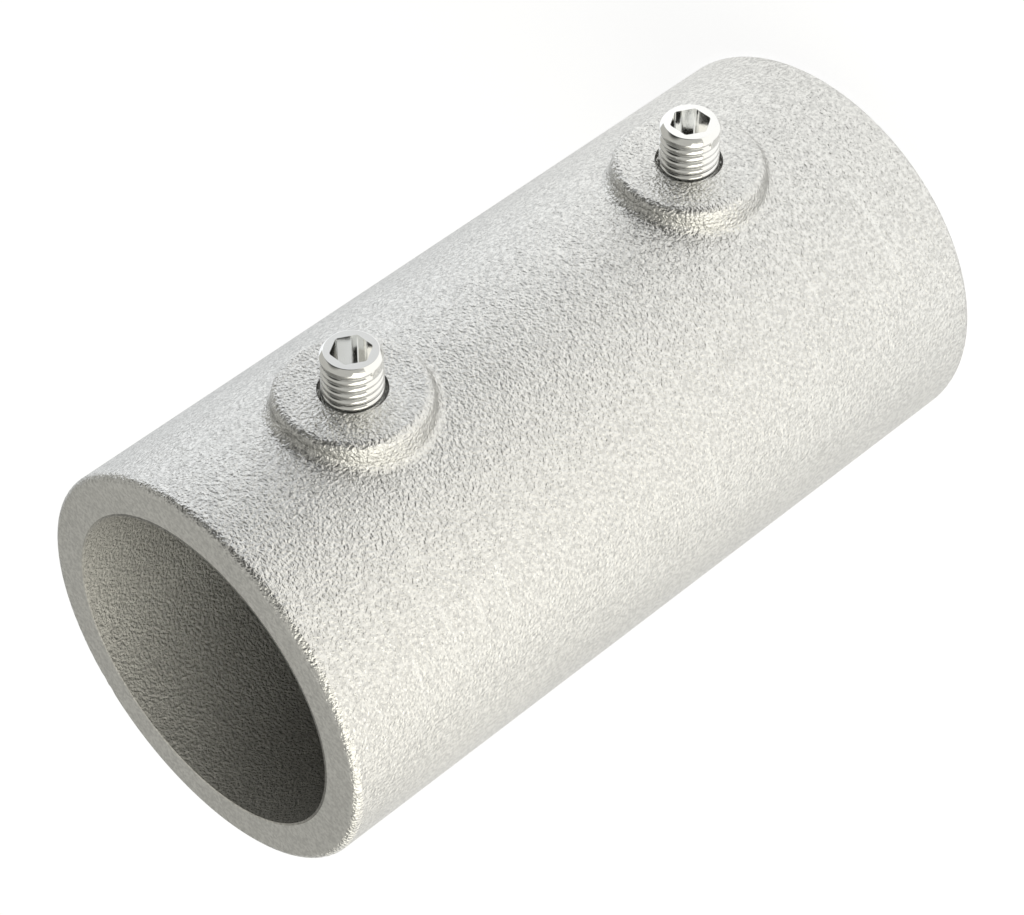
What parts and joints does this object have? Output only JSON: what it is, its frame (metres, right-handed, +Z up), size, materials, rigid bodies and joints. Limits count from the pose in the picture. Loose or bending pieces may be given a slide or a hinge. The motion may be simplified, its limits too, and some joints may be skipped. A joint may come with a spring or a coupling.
{
  "type": "tube joint",
  "caption": "Straight cast sleeve that joins round tubes end to end, clamped by hexagon socket set screws in low round bosses.",
  "frame": {"origin": "on the bore axis at the lower end face, which the joint stands on", "axes": "+Z up along the bore; the bosses and their set screws point to -Y"},
  "size_m": [0.0356, 0.0412, 0.072],
  "materials": {
    "casting": "shot-blasted casting, light warm grey",
    "set_screw": "bright plated steel"
  },
  "bodies": {
    "sleeve": {"sleeve": "casting"},
    "upper_screw": {"upper_set_screw": "set_screw"},
    "lower_screw": {"lower_set_screw": "set_screw"}
  },
  "joints": [
    {"name": "upper_screw_travel", "type": "slide", "parent": "sleeve", "child": "upper_screw", "axis": [0, 1, 0], "range_m": [-0.0016, 0.004]},
    {"name": "lower_screw_travel", "type": "slide", "parent": "sleeve", "child": "lower_screw", "axis": [0, 1, 0], "range_m": [-0.0016, 0.004]}
  ]
}
